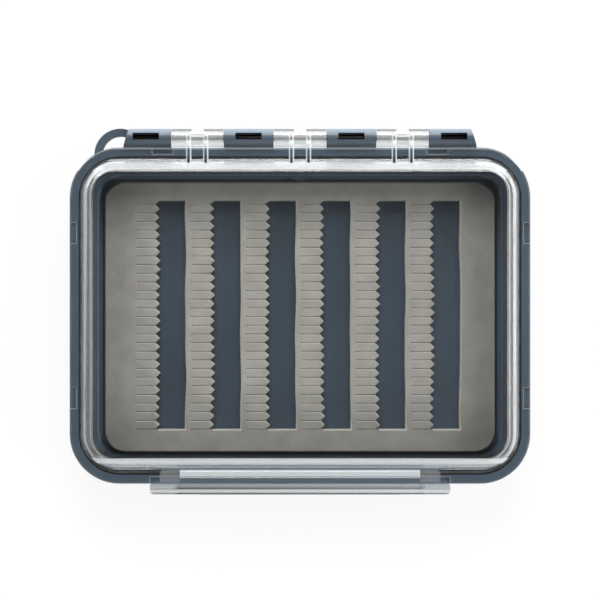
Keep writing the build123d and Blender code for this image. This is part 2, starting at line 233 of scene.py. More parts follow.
@dataclass(frozen=True)
class Pattern:
    """A cloudy pattern on a surface."""

    size: float                     # of its features, millimetres
    detail: float
    roughness: float = 0.5
    turned: float = 0.0             # degrees about Z
    pressed: Point = (1.0, 1.0, 1.0)    # how many times finer it is along X, Y and Z

    def add(self, spot: Spot) -> Socket:
        """Adds the pattern's nodes.

        Args:
            spot: The point that they shade.

        Returns:
            Socket with a value about 0.5.
        """
        laid = add_node(spot.tree, "ShaderNodeMapping",
                        {"Vector": spot.where, "Rotation": (0.0, 0.0, math.radians(self.turned)),
                         "Scale": self.pressed})
        return add_node(spot.tree, "ShaderNodeTexNoise",
                        {"Vector": laid.outputs[0], "Scale": per_metre(self.size),
                         "Detail": self.detail, "Roughness": self.roughness}).outputs[0]


def per_metre(size_mm: float) -> float:
    """Scale of a pattern whose features are size_mm across."""
    return 1.0 / (size_mm * MM)


def dress(piece: Piece, material: Material) -> None:
    """Gives a piece one material in place of what it had."""
    piece.data.materials.clear()
    piece.data.materials.append(material)


def finished_piece(shape: Shape, name: str, body: Body, material: Material) -> Piece:
    """Turns a bmesh to an object that rides on a body.

    Args:
        shape: The bmesh, in millimetres in the shared frame; it is freed here.
        name: Name of the piece.
        body: Body that it rides on.
        material: Its material.

    Returns:
        The linked object, at the origin.
    """
    bmesh.ops.scale(shape, vec=(MM, MM, MM), verts=shape.verts)
    mesh = bpy.data.meshes.new(name)
    shape.to_mesh(mesh)
    shape.free()
    piece = bpy.data.objects.new(name, mesh)
    bpy.context.scene.collection.objects.link(piece)
    dress(piece, material)
    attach(piece, body.value)
    return piece


# --- finishes ----------------------------------------------------------------
@dataclass(frozen=True)
class Finish:
    """A finish; each kind says by itself how it shades a point."""

    name: str = "bare"
    relief: Pair = (0.3, 0.02)      # how strong its fine relief shows, and its depth

    def material(self) -> Material:
        """Builds the material.

        Returns:
            The material, with the finish's own nodes and nothing else.
        """
        made = bpy.data.materials.new(self.name)
        made.use_nodes = True
        tree = made.node_tree
        tree.nodes.clear()
        add_node(tree, "ShaderNodeOutputMaterial", {"Surface": self.shader(Spot(tree))})
        return made

    def shader(self, spot: Spot) -> Socket:
        """Adds the nodes that shade a point.

        Args:
            spot: The point.

        Returns:
            The shader's socket.
        """
        raise NotImplementedError

    def surface(self, spot: Spot, colour: object, rough: object, height: Socket,
                inputs: Dict[SocketKey, object]) -> Socket:
        """Adds the nodes of a surface with the finish's relief.

        Args:
            spot: The point.
            colour: Its base colour.
            rough: Its roughness, as a value or a socket.
            height: Height of the relief, from 0 to 1.
            inputs: What else the shader needs.

        Returns:
            The shader's socket.
        """
        strength, depth = self.relief
        bump = add_node(spot.tree, "ShaderNodeBump",
                        {"Strength": strength, "Distance": depth * MM, "Height": height})
        return add_node(spot.tree, "ShaderNodeBsdfPrincipled",
                        {"Base Color": colour, "Roughness": rough, "Normal": bump.outputs[0],
                         **inputs}).outputs[0]


@dataclass(frozen=True)
class MouldedAbs(Finish):
    """ABS, injection moulded against a finely eroded tool: a soft satin sheen, a faint grain,
    slow changes of shade where the melt cooled, and small scuffs from pockets and keys.
    Painted light lies on the foot of the inner walls, a painted highlight on the hinge
    knuckles' backs, and painted shade on the inside of the front wall."""

    name: str = "moulded_slate_abs"
    body: str = "#434F5C"
    shade: str = "#3C4853"
    scuff: str = "#606D79"
    roughness: Pair = (0.37, 0.48)
    ior: float = 1.54
    flow: Pattern = Pattern(28.0, 3.0)
    flow_range: Pair = (0.35, 0.65)
    grain: Pattern = Pattern(0.35, 2.0)     # real grain is 0.05 mm; drawn coarser so it shows
    grain_range: Pair = (0.3, 0.7)
    relief: Pair = (0.18, 0.02)
    scuffs: Pattern = Pattern(3.0, 5.0, 0.65, 33.0, (1.0, 14.0, 3.0))
    scuff_range: Pair = (0.62, 0.80)
    scuff_share: float = 0.35
    painted_light: str = "#8795A2"     # painted light on the foot of the inner walls, which lie in shade, and a painted highlight on the knuckles' backs
    painted_front_shade: str = "#1C2127"     # painted shade on the inside of the front wall
    front_shade_share: float = 0.75
    front_wall_light_share: float = 0.12           # of the painted light that the front wall keeps
    front_shade_fade: float = 1.0
    cavity: Pair = (55.1, 38.8)         # half size round the inner walls
    gutter: Pair = (52.5, 36.0)         # half size round the dark gutter beside the foam
    gutter_fade: float = 0.4
    upright: Pair = (0.90, 0.80)        # how little of the normal is vertical on a wall
    inward: Pair = (-10.0, -15.0)       # how much a wall faces the middle to count as inner
    rearward: Pair = (0.3, 0.6)         # how much of the normal is rearward on the front wall
    painted_light_levels: Pair = (8.0, 4.5)       # levels across which the painted light on the walls grows
    knuckle_highlight_start: Pair = (46.6, 47.1)   # Y where the painted highlight on the hinge knuckles' backs starts
    knuckle_highlight_facing: Pair = (0.30, 0.75)
    gate: Point = (-0.3, 36.0, 4.0)     # where the moulding was broken off its runner
    gate_range: Pair = (2.7, 1.62)      # radii across which its pale mark gains
    gate_share: float = 0.9

    def shader(self, spot: Spot) -> Socket:
        """Adds the nodes of the tray's plastic.

        Args:
            spot: The point.

        Returns:
            The shader's socket.
        """
        grain = self.grain.add(spot)
        reach = add_node(spot.tree, "ShaderNodeVectorMath", {0: spot.millimetres, 1: self.gate},
                         operation="DISTANCE").outputs["Value"]
        gate = Slope(reach, *self.gate_range, self.gate_share)
        colour = coated(
            spot.tree, linear(self.shade),
            (self.body, [[Slope(self.flow.add(spot), *self.flow_range)]]),
            # painted light on the inner walls' foot, and painted highlight on the knuckles' backs
            (self.painted_light, self.walls(spot)),
            # painted shade on the inside of the front wall
            (self.painted_front_shade, [self.front_wall_shade(spot)]),
            (self.scuff, [[Slope(self.scuffs.add(spot), *self.scuff_range,
                                 self.scuff_share)], [gate]]))
        satin, dull = self.roughness
        rough = most_of(spot.tree, [Slope(grain, *self.grain_range, dull, satin)])
        return self.surface(spot, colour, rough, grain, {"IOR": self.ior})

    def front_wall_shade(self, spot: Spot) -> Zone:
        """The zone of the painted shade on the inside of the front wall.

        Args:
            spot: The point.

        Returns:
            Its slopes.
        """
        start, edge = -self.gutter[1], -self.cavity[1]
        return [Slope(spot.place["Y"], start + self.front_shade_fade, start),
                Slope(spot.place["Y"], edge, edge + CRISP, self.front_shade_share),
                Slope(spot.facing["Y"], *self.rearward)]

    def walls(self, spot: Spot) -> List[Zone]:
        """The zones of the painted light: the foot of the inner walls, and a painted highlight on
        the knuckles' backs.

        Args:
            spot: The point.

        Returns:
            The zones.
        """
        outward = add_node(spot.tree, "ShaderNodeVectorMath",
                           {0: spot.normal, 1: spot.millimetres},
                           operation="DOT_PRODUCT").outputs["Value"]
        # the front wall gets little of the painted light, as it lies in shade
        inner = [Slope(spot.tilt["Z"], *self.upright), Slope(outward, *self.inward),
                 Slope(spot.facing["Y"], *self.rearward, self.front_wall_light_share, 1.0),
                 Slope(spot.place["Z"], *self.painted_light_levels)]
        clear = []
        for axis, (edge, gutter) in enumerate(zip(self.cavity, self.gutter)):
            inner.append(Slope(spot.away[axis], edge, edge - CRISP))
            clear.append(Slope(spot.away[axis], gutter, gutter + self.gutter_fade))
        # painted highlight on the backs of the hinge knuckles
        backs = [Slope(spot.facing["Y"], *self.knuckle_highlight_facing),
                 Slope(spot.place["Y"], *self.knuckle_highlight_start)]
        return [[*inner, clear[0]], [*inner, clear[1]], backs]


@dataclass(frozen=True)
class ClearPolycarbonate(Finish):
    """Polycarbonate, moulded in a polished tool: clear as water where it is flat, with a faint
    ripple and hairline handling marks. The tool's steep faces keep their fine spark grain,
    which scatters some light. White scatter also paints highlights on rear faces, rib flanks,
    the barrels' fronts and the lugs' outlines, and bands along the front that are partly
    frosting where the jaw rubs on the catch and partly painted highlight."""

    name: str = "polished_clear_polycarbonate"
    tint: str = "#F7F9FA"
    # white of the grain's scatter and of the painted highlights
    grain_and_highlight_white: str = "#F4F6F7"
    thin_tint: str = "#F2F5F6"      # of light that passes to what lies below
    ior: float = 1.585
    roughness: Pair = (0.015, 0.105)
    ripple: Pattern = Pattern(9.0, 1.0)
    relief: Pair = (0.03, 0.03)
    hairs: Pattern = Pattern(2.2, 4.0, 0.6, -24.0, (1.0, 18.0, 1.0))
    hair_range: Pair = (0.62, 0.78)
    grain: Pattern = Pattern(0.25, 2.0)
    grain_range: Pair = (0.2, 0.8)
    grain_least: float = 0.7        # how much of its light the weakest grain scatters
    steep: Pair = (0.92, 0.70)      # how little of the normal is vertical on a steep face
    steep_haze: float = 0.05        # share of light that the spark grain scatters there
    # painted highlight, as white scatter, on faces that look rearward
    rearward: Pair = (0.42, 0.65)   # how much of the normal is rearward on a rear face
    upward: Pair = (0.0, 0.2)       # how much of it is upward there
    rear_highlight: float = 0.32
    rear_foot: Point = (17.1, 17.4, 0.4)    # Z, Z and what is left of that below them
    # painted highlight on the hinge ribs' flanks
    sideward: Pair = (0.30, 0.50)   # how much of the normal is sideward on a rib's flank
    rib_highlight: float = 0.60
    rib_front: float = 37.6         # Y where the hinge ribs start
    barrel_haze: float = 0.14
    barrel_front: float = 43.2      # Y where the hinge barrels start
    barrel_front_highlight: Point = (44.0, 45.5, 0.55)     # Y, Y, share of the painted highlight on the barrels' fronts
    # bands along the front: partly frosting where the jaw rubs on the catch, partly painted
    # highlight
    frost_and_highlight_bands: Tuple[Point, ...] = ((-60.0, -39.8, 0.13), (-38.3, -36.9, 0.62))     # Y, Y, share
    band_level: float = 17.45       # Z that the bands lie above
    ends: Point = (70.0, -43.6, 0.0)    # X and Y that the milky ends lie past; share
    ends_fade: float = 1.2
    lug_highlight: float = 0.13          # painted highlight along the lugs' outlines
    lug_line: float = 0.13
    lugs: Tuple[Tuple[Point, Point], ...] = (   # middle and half size, the same on both sides
        ((59.125, 21.5, 0.0), (0.875, 2.75, 0.0)), ((59.125, -21.5, 0.0), (0.875, 2.75, 0.0)),
        ((35.8, 42.895, 0.0), (2.75, 0.875, 0.0)), ((0.0, -42.895, 0.0), (39.15, 0.875, 0.0)))

    def shader(self, spot: Spot) -> Socket:
        """Adds the nodes of the clear plastic.

        Args:
            spot: The point.

        Returns:
            The shader's socket.
        """
        tree = spot.tree
        polished, marked = self.roughness
        hairs = Slope(self.hairs.add(spot), *self.hair_range, marked, polished)
        glass = self.surface(spot, linear(self.tint), most_of(tree, [hairs]),
                             self.ripple.add(spot), {"IOR": self.ior, "Transmission Weight": 1.0})
        grained = add_node(tree, "ShaderNodeBsdfDiffuse", {"Color": linear(self.grain_and_highlight_white)})
        shader = add_node(tree, "ShaderNodeMixShader",
                          {0: self.scatter_and_highlights(spot), 1: glass, 2: grained.outputs[0]}).outputs[0]
        # lamps and stray light reach what lies under the clear parts
        path = add_node(tree, "ShaderNodeLightPath").outputs
        through = add_node(tree, "ShaderNodeBsdfTransparent", {"Color": linear(self.thin_tint)})
        for ray in ("Is Shadow Ray", "Is Diffuse Ray"):
            shader = add_node(tree, "ShaderNodeMixShader",
                              {0: path[ray], 1: shader, 2: through.outputs[0]}).outputs[0]
        return shader

    def scatter_and_highlights(self, spot: Spot) -> Socket:
        """Adds the nodes that say how much white scatter a point gets: the grain, and the painted
        highlights.

        Args:
            spot: The point.

        Returns:
            Socket with the share, from 0 to 1.
        """
        x, y, z = spot.away["X"], spot.place["Y"], spot.place["Z"]
        low, high, foot = self.rear_foot
        start, end, painted_light = self.barrel_front_highlight
        past, before, milky = self.ends
        zones = [
            [Slope(spot.tilt["Z"], *self.steep, self.steep_haze)],
            # painted highlight on rear faces
            [Slope(spot.facing["Y"], *self.rearward, self.rear_highlight),
             Slope(spot.facing["Z"], *self.upward), Slope(z, low, high, 1.0, foot)],
            # painted highlight on the rib flanks
            [Slope(spot.tilt["X"], *self.sideward, self.rib_highlight),
             Slope(y, self.rib_front, self.rib_front + CRISP)],
            [Slope(y, self.barrel_front, self.barrel_front + 2 * CRISP, self.barrel_haze)],
            # painted highlight on the barrels' fronts
            [Slope(y, start, start + 2 * CRISP), Slope(y, end + 3 * CRISP, end, painted_light)],
            [Slope(x, past, past + self.ends_fade, milky),
             Slope(y, before, before - 3 * CRISP)],
        ]
        # bands of frosting and painted highlight
        for front, rear, share in self.frost_and_highlight_bands:
            zones.append([Slope(y, rear, rear - 2 * CRISP, share),
                          Slope(y, front - 4 * CRISP, front),
                          Slope(z, self.band_level - CRISP, self.band_level)])
        grain = Slope(self.grain.add(spot), *self.grain_range, 1.0, self.grain_least)
        zones = [[*zone, grain] for zone in zones + self.lug_highlight_lines(spot)]
        return most_of(spot.tree, *zones)

    def lug_highlight_lines(self, spot: Spot) -> List[Zone]:
        """Adds the nodes for the painted highlight along the outlines of the lugs under the flange.

        Args:
            spot: The point.

        Returns:
            A zone for each outline.
        """
        tree = spot.tree
        here = add_node(tree, "ShaderNodeCombineXYZ",
                        {"X": spot.away["X"], "Y": spot.place["Y"]}).outputs[0]
        lines = []
        for middle, half in self.lugs:
            apart = add_node(tree, "ShaderNodeVectorMath", {0: here, 1: middle},
                             operation="SUBTRACT")
            size = add_node(tree, "ShaderNodeVectorMath", {0: apart.outputs[0]},
                            operation="ABSOLUTE")
            past = add_node(tree, "ShaderNodeVectorMath", {0: size.outputs[0], 1: half},
                            operation="SUBTRACT")
            sides = add_node(tree, "ShaderNodeSeparateXYZ", {0: past.outputs[0]}).outputs
            nearest = add_node(tree, "ShaderNodeMath", {0: sides["X"], 1: sides["Y"]},
                               operation="MAXIMUM")
            gap = add_node(tree, "ShaderNodeMath", {0: nearest.outputs[0]}, operation="ABSOLUTE")
            lines.append([Slope(gap.outputs[0], self.lug_line, 0.5 * self.lug_line,
                                self.lug_highlight)])
        return lines


@dataclass(frozen=True)
class MouldedRubber(Finish):
    """Nitrile rubber cord, moulded and dusted with talc: near black with a warm, dull bloom."""

    name: str = "moulded_nitrile_rubber"
    deep: str = "#2B2623"
    bloom: str = "#57504B"
    roughness: Pair = (0.47, 0.70)
    ior: float = 1.52
    cloud: Pattern = Pattern(2.5, 5.0)
    cloud_range: Pair = (0.40, 0.70)
    dull_range: Pair = (0.3, 0.7)
    skin: Pattern = Pattern(0.3, 2.0)
    relief: Pair = (0.3, 0.03)

    def shader(self, spot: Spot) -> Socket:
        """Adds the nodes of the rubber.

        Args:
            spot: The point.

        Returns:
            The shader's socket.
        """
        cloud = self.cloud.add(spot)
        clean, dusted = self.roughness
        colour = coated(spot.tree, linear(self.deep),
                        (self.bloom, [[Slope(cloud, *self.cloud_range)]]))
        rough = most_of(spot.tree, [Slope(cloud, *self.dull_range, dusted, clean)])
        return self.surface(spot, colour, rough, self.skin.add(spot), {"IOR": self.ior})


@dataclass(frozen=True)
class SlitFoam(Finish):
    """Closed-cell EVA foam, split from a block and die cut: a dry, even grey with the cut
    cells as fine pits, a slightly mottled shade, painted shade towards its borders, and on the
    rounded cut edges paler torn cells with painted light."""

    name: str = "die_cut_eva_foam"
    face: str = "#A8A097"
    mottle: str = "#9A938A"
    pit: str = "#7A736A"
    cut: str = "#C9C2B8"        # on rounded cut edges that do not face the front: partly paler torn cells, partly painted light
    roughness: Pair = (0.82, 0.92)
    ior: float = 1.45
    clouds: Pattern = Pattern(5.0, 6.0, 0.6)
    cloud_range: Pair = (0.35, 0.65)
    cell: float = 0.42          # real cells are 0.15 mm; drawn coarser so that they show
    relief: Pair = (0.5, 0.06)
    pit_range: Pair = (0.32, 0.10)
    pit_share: float = 0.30
    lit_edge_share: float = 0.80
    lit_edge_tilt: Pair = (0.97, 0.85)       # upward share of the normal on a rounded edge
    lit_edge_facing: Pair = (-0.45, -0.15)   # rearward share of it
    border_shade_kept: float = 0.72          # painted shade: how much of their colour the borders keep, where the tray's walls shade them
    border_shade_reach: Pair = (17.0, 20.0)     # width of the painted shade along the borders in X and Y
    half_size: Pair = (51.5, 35.5)      # of the sheet

    def shader(self, spot: Spot) -> Socket:
        """Adds the nodes of the foam.

        Args:
            spot: The point.

        Returns:
            The shader's socket.
        """
        tree = spot.tree
        cells = add_node(tree, "ShaderNodeTexVoronoi",
                         {"Vector": spot.where, "Scale": per_metre(self.cell)}).outputs["Distance"]
        # painted shade towards the borders
        clean = [Slope(spot.away[axis], half - reach, half, self.border_shade_kept, 1.0, "SMOOTHSTEP")
                 for axis, (half, reach) in enumerate(zip(self.half_size, self.border_shade_reach))]
        # painted light on rounded edges that do not face the front
        lit_edges = [Slope(spot.facing["Z"], *self.lit_edge_tilt, self.lit_edge_share),
                Slope(spot.facing["Y"], *self.lit_edge_facing)]
        even = coated(tree, linear(self.mottle),
                      (self.face, [[Slope(self.clouds.add(spot), *self.cloud_range)]]),
                      (self.pit, [[Slope(cells, *self.pit_range, self.pit_share)]]))
        border_shaded = add_node(tree, "ShaderNodeMix", {0: 1.0, 6: even, 7: most_of(tree, clean)},
                          data_type="RGBA", blend_type="MULTIPLY")
        low, high = self.roughness
        rough = most_of(tree, [Slope(cells, 0.0, 1.0, high, low)])
        colour = coated(tree, border_shaded.outputs[2], (self.cut, [lit_edges]))
        return self.surface(spot, colour, rough, cells, {"IOR": self.ior})


@dataclass(frozen=True)
class TissueFilm(Finish):
    """Double-sided tissue tape with acrylic adhesive, slit from a roll: a milky, faintly
    fibrous skin that shows only at the foam's cut edges."""

    name: str = "acrylic_tissue_film"
    skin: str = "#7F8386"
    fibre: str = "#9A9DA0"
    roughness: float = 0.5
    ior: float = 1.47
    fibres: Pattern = Pattern(1.2, 4.0, pressed=(1.0, 6.0, 1.0))
    fibre_range: Pair = (0.45, 0.70)
    relief: Pair = (0.3, 0.02)

    def shader(self, spot: Spot) -> Socket:
        """Adds the nodes of the film.

        Args:
            spot: The point.

        Returns:
            The shader's socket.
        """
        fibres = self.fibres.add(spot)
        colour = coated(spot.tree, linear(self.skin),
                        (self.fibre, [[Slope(fibres, *self.fibre_range)]]))
        return self.surface(spot, colour, self.roughness, fibres, {"IOR": self.ior})


@dataclass(frozen=True)
class DrawnSteel(Finish):
    """Stainless steel wire, cold drawn and cut: fine die lines along the pin and a warm
    straw film from the drawing oil. Painted shade darkens it where it runs in the tray's knuckles."""

    name: str = "drawn_stainless_wire"
    bright: str = "#A39A91"
    oiled: str = "#6E6358"
    pocket_shade: str = "#3B3733"     # painted shade on the pin where it runs deep in the tray's knuckles
    roughness: Pair = (0.16, 0.34)
    lines: Pattern = Pattern(0.12, 3.0, pressed=(0.02, 1.0, 1.0))
    relief: Pair = (0.3, 0.01)
    film: Pattern = Pattern(6.0, 4.0)
    knuckle_pitch: float = 26.75
    knuckle_middle: float = 13.4
    knuckle_half: float = 6.5
    pocket_shade_fade: float = 0.4
    score_range: Pair = (0.3, 0.7)

    def shader(self, spot: Spot) -> Socket:
        """Adds the nodes of the steel.

        Args:
            spot: The point.

        Returns:
            The shader's socket.
        """
        tree = spot.tree
        lines = self.lines.add(spot)
        turn = add_node(tree, "ShaderNodeMath", {0: spot.away["X"], 1: self.knuckle_pitch},
                        operation="MODULO")
        apart = add_node(tree, "ShaderNodeMath", {0: turn.outputs[0], 1: self.knuckle_middle},
                         operation="SUBTRACT")
        off = add_node(tree, "ShaderNodeMath", {0: apart.outputs[0]}, operation="ABSOLUTE")
        colour = coated(
            tree, linear(self.oiled),
            (self.bright, [[Slope(self.film.add(spot), 0.0, 1.0)]]),
            # painted shade where the pin runs in the tray's knuckles
            (self.pocket_shade, [[Slope(off.outputs[0], self.knuckle_half,
                                  self.knuckle_half - self.pocket_shade_fade)]]))
        smooth, scored = self.roughness
        rough = most_of(tree, [Slope(lines, *self.score_range, scored, smooth)])
        return self.surface(spot, colour, rough, lines, {"Metallic": 1.0})


# --- sub-assemblies ----------------------------------------------------------
@dataclass
class Tray:
    """Moulded tray with its rim, knuckles, lanyard loop and latch hangers, and its film."""

    plastic: MouldedAbs = MouldedAbs()
    film: TissueFilm = TissueFilm()

    def build(self) -> List[Piece]:
        """Dresses the tray and the film in its floor.

        Returns:
            Both nodes.
        """
        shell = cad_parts["base_tray"]
        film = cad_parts["adhesive_film"]
        dress(shell, self.plastic.material())
        dress(film, self.film.material())
        return [shell, film]


@dataclass
class ClearParts:
    """Clear lid and clear snap latch."""

    lid: ClearPolycarbonate = ClearPolycarbonate()
    latch: ClearPolycarbonate = ClearPolycarbonate(
        name="polished_clear_polycarbonate_of_the_latch", tint="#D3D9DE",
        # the latch's bands are stripes of painted highlight
        frost_and_highlight_bands=((-41.55, -39.9, 0.34), (-44.4, -43.5, 0.14), (-45.3, -44.9, 0.36),
               (-45.7, -45.15, 0.58), (-46.6, -46.0, 0.12)),
        lug_highlight=0.0, ends=(31.6, -43.6, 0.20))

    def build(self) -> List[Piece]:
        """Dresses the lid and the latch.

        Returns:
            Both nodes.
        """
        parts = [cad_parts["lid"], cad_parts["latch"]]
        for part, plastic in zip(parts, (self.lid, self.latch)):
            dress(part, plastic.material())
        return parts


@dataclass
class Seal:
    """Rubber cord seal in the rim's groove, as a closed ring of round section."""

    path_length: float = 114.0      # X, over the cord's centre line
    path_width: float = 81.6
    path_radius: float = 10.0
    cord_radius: float = 0.65
    level: float = 14.57            # of the centre line
    section_sides: int = 14
    corner_steps: int = 14
    rubber: MouldedRubber = MouldedRubber()

    def shape(self) -> Shape:
        """Spins the section round each corner and draws it along each side.

        Returns:
            The closed ring.
        """
        ring = bmesh.new()
        half_x = self.path_length / 2 - self.path_radius
        half_y = self.path_width / 2 - self.path_radius
        start = Matrix.Translation((half_x + self.path_radius, -half_y, self.level))
        start @= Matrix.Rotation(math.radians(90), 4, "X")
        section = bmesh.ops.create_circle(ring, segments=self.section_sides,
                                          radius=self.cord_radius, matrix=start)
        edges = list({edge for vert in section["verts"] for edge in vert.link_edges})
        corners = ((half_x, half_y), (-half_x, half_y), (-half_x, -half_y), (half_x, -half_y))
        runs = ((0.0, 2 * half_y, 0.0), (-2 * half_x, 0.0, 0.0), (0.0, -2 * half_y, 0.0),
                (2 * half_x, 0.0, 0.0))
        for run, (x, y) in zip(runs, corners):
            drawn = bmesh.ops.extrude_edge_only(ring, edges=edges)["geom"]
            verts = [part for part in drawn if isinstance(part, bmesh.types.BMVert)]
            edges = [part for part in drawn if isinstance(part, bmesh.types.BMEdge)]
            bmesh.ops.translate(ring, verts=verts, vec=run)
            turned = bmesh.ops.spin(ring, geom=verts + edges, cent=(x, y, self.level),
                                    axis=(0.0, 0.0, 1.0), angle=math.radians(90),
                                    steps=self.corner_steps)
            edges = [part for part in turned["geom_last"]
                     if isinstance(part, bmesh.types.BMEdge)]
        bmesh.ops.remove_doubles(ring, verts=ring.verts, dist=WELD)
        bmesh.ops.recalc_face_normals(ring, faces=ring.faces)
        for face in ring.faces:
            face.smooth = True
        return ring

    def build(self) -> List[Piece]:
        """Builds the seal in place of its plain solid.

        Returns:
            The seal.
        """
        piece = finished_piece(self.shape(), "seal_cord", Body.TRAY,
                               self.rubber.material())
        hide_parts("o_ring_seal")
        return [piece]


@dataclass
class HingePins:
    """Drawn pins of the lid's hinge and of the latch, with broken ends."""

    lid_pin: Tuple[float, float, float, float] = (46.35, 15.575, 1.6, 88.4)
    latch_pin: Tuple[float, float, float, float] = (-41.9, 10.2, 1.5, 76.0)
    sides: int = 32
    end_break: float = 0.15
    steel: DrawnSteel = DrawnSteel()

    def shape(self, y: float, z: float, diameter: float, length: float) -> Shape:
        """Turns a round bar with broken ends.

        Args:
            y: Place of the axis.
            z: Level of the axis.
            diameter: Of the bar.
            length: Along X.

        Returns:
            The bar.
        """
        bar = bmesh.new()
        place = Matrix.Translation((0.0, y, z)) @ Matrix.Rotation(math.radians(90), 4, "Y")
        bmesh.ops.create_cone(bar, cap_ends=True, segments=self.sides, radius1=diameter / 2,
                              radius2=diameter / 2, depth=length, matrix=place)
        rims = [edge for edge in bar.edges
                if abs(edge.verts[0].co.x - edge.verts[1].co.x) < TINY]
        bmesh.ops.bevel(bar, geom=rims, offset=self.end_break, offset_type="OFFSET",
                        segments=2, profile=0.5, affect="EDGES", material=-1)
        for face in bar.faces:
            face.smooth = abs(face.normal.x) < SQUARE
        return bar

    def build(self) -> List[Piece]:
        """Builds both pins in place of their plain solids.

        Returns:
            The pins.
        """
        material = self.steel.material()
        rows = (("lid_hinge_wire", self.lid_pin, "hinge_pin"),
                ("latch_hinge_wire", self.latch_pin, "latch_pin"))
        pieces = []
        for name, sizes, node in rows:
            piece = finished_piece(self.shape(*sizes), name, Body.TRAY, material)
            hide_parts(node)
            pieces.append(piece)
        return pieces


@dataclass
class FoamSheet:
    """Foam sheet with six slots, each with a comb of soft teeth parted by knife slits."""

    length: float = 103.036         # X
    width: float = 71.036
    radius: float = 5.2
    bottom: float = 2.0             # level of its underside
    thickness: float = 4.5
    rows: int = 6
    pitch: float = 14.547
    slots_middle: float = 2.55
    slot_width: float = 7.0
    slot_length: float = 60.636
    slit_count: int = 27
    slit_pitch: float = 2.2922
    slits_middle: float = -0.4
    slit_length: float = 5.097
    tooth_depth: float = 1.0
    lip: float = 0.24               # softness of the cut edges
    edge_round: float = 0.35
    prick: Pair = (0.22, 0.11)      # end of a slit: distance from the root, half its opening
    closed: Pair = (0.50, 0.02)     # the same where the cut has closed
    shoulder: Pair = (-0.15, 0.03)  # the same where a tooth's nose starts, from the slit's length
    cheek: Pair = (0.04, 0.10)      # the same where it narrows
    snout: Point = (0.10, 0.22, 0.04)       # distance from the tip, half width, drop
    tip: Pair = (0.09, 0.16)        # half width, drop
    swells: Pair = (-0.10, 0.10)    # how much the teeth differ in length
    lifts: Pair = (-0.05, 0.07)     # the same in height
    leans: Pair = (-0.06, 0.06)     # the same to the side
    wander: float = 0.32            # how far the cut lines wander in X
    wander_size: Pair = (16.0, 11.0)        # X and Y across which they wander
    swell: float = 0.10             # how far the face swells
    swell_size: float = 9.0
    calm_border: float = 6.0        # width of the border that neither wanders nor swells fully
    swell_gap: float = 0.5          # between the face's swell and the ends of the slots
    lean_gap: float = 0.2           # between those ends and where the borders lean
    fade: float = 3.0               # width over which a lean or a swell fades
    rear_lean: float = 0.42         # the pressed sheet leans forward, over the floor's chamfer
    front_lean: float = 0.60
    foam: SlitFoam = SlitFoam()
    evenness: int = 80          # weight of the large faces in the shading
    seed: int = 11

    @property
    def top(self) -> float:
        """Level of the upper face."""
        return self.bottom + self.thickness

    @property
    def comb_reach(self) -> float:
        """Width of a comb, from the teeth's roots to their tips."""
        return self.slit_length + self.tooth_depth

    @property
    def slot_edges(self) -> List[float]:
        """X of each slot's toothed side."""
        first = self.slots_middle - self.pitch * (self.rows - 1) / 2 - self.slot_width / 2
        return [first + self.pitch * row for row in range(self.rows)]

    @property
    def slits(self) -> List[float]:
        """Y of each slit, from the front."""
        first = self.slits_middle - self.slit_pitch * (self.slit_count - 1) / 2
        return [first + self.slit_pitch * number for number in range(self.slit_count)]

    def sheet(self) -> Shape:
        """Cuts the sheet with a window for each slot and its comb of teeth.

        Returns:
            The sheet, open where the teeth join it.
        """
        sheet = bmesh.new()
        bmesh.ops.create_grid(sheet, x_segments=1, y_segments=1, size=0.5)
        bmesh.ops.scale(sheet, vec=(self.length, self.width, 1.0), verts=sheet.verts)
        bmesh.ops.bevel(sheet, geom=sheet.verts[:], offset=self.radius,
                        offset_type="OFFSET", segments=8, profile=0.5, affect="VERTICES",
                        material=-1)
        comb = self.comb_reach
        across = [x + shift for x in self.slot_edges for shift in (-comb, 0.0, self.slot_width)]
        ends = (self.slits[0], self.slot_length / 2)
        for x in across:
            self.cut(sheet, (x, 0.0, 0.0), (1.0, 0.0, 0.0))
        for y in [*self.slits, ends[1]]:
            self.cut(sheet, (0.0, y, 0.0), (0.0, 1.0, 0.0))
        bmesh.ops.remove_doubles(sheet, verts=sheet.verts, dist=TINY)
        front, rear = self.slits[0], self.slits[-1]
        gone = []
        for face in sheet.faces:
            middle = face.calc_center_median()
            for x in self.slot_edges:
                in_comb = x - comb < middle.x < x and front < middle.y < rear
                in_slot = x < middle.x < x + self.slot_width and ends[0] < middle.y < ends[1]
                if in_comb or in_slot:
                    gone.append(face)
        bmesh.ops.delete(sheet, geom=gone, context="FACES")
        # the slot's rear left corner runs out at 45 degrees to the first slit
        for vert in sheet.verts:
            for x in self.slot_edges:
                if abs(vert.co.x - x) < TINY and abs(vert.co.y - rear) < TINY:
                    vert.co.x -= ends[1] - rear
        raised = bmesh.ops.extrude_face_region(sheet, geom=sheet.faces[:])["geom"]
        bmesh.ops.translate(sheet, vec=(0.0, 0.0, self.thickness),
                            verts=[part for part in raised if isinstance(part, bmesh.types.BMVert)])
        bmesh.ops.translate(sheet, vec=(0.0, 0.0, self.bottom), verts=sheet.verts)
        bmesh.ops.recalc_face_normals(sheet, faces=sheet.faces)
        rims = [edge for edge in sheet.edges if self.is_upper_rim(edge)]
        bmesh.ops.bevel(sheet, geom=rims, offset=self.edge_round, offset_type="OFFSET",
                        segments=2, profile=0.5, affect="EDGES", material=-1)
        joints = [face for face in sheet.faces if self.carries_teeth(face)]
        bmesh.ops.delete(sheet, geom=joints, context="FACES_ONLY")
        return sheet

    @staticmethod
    def cut(shape: Shape, place: Point, normal: Point) -> None:
        """Adds the edges where a plane crosses a shape."""
        bmesh.ops.bisect_plane(shape, geom=shape.verts[:] + shape.edges[:] + shape.faces[:],
                               dist=TINY, plane_co=place, plane_no=normal)

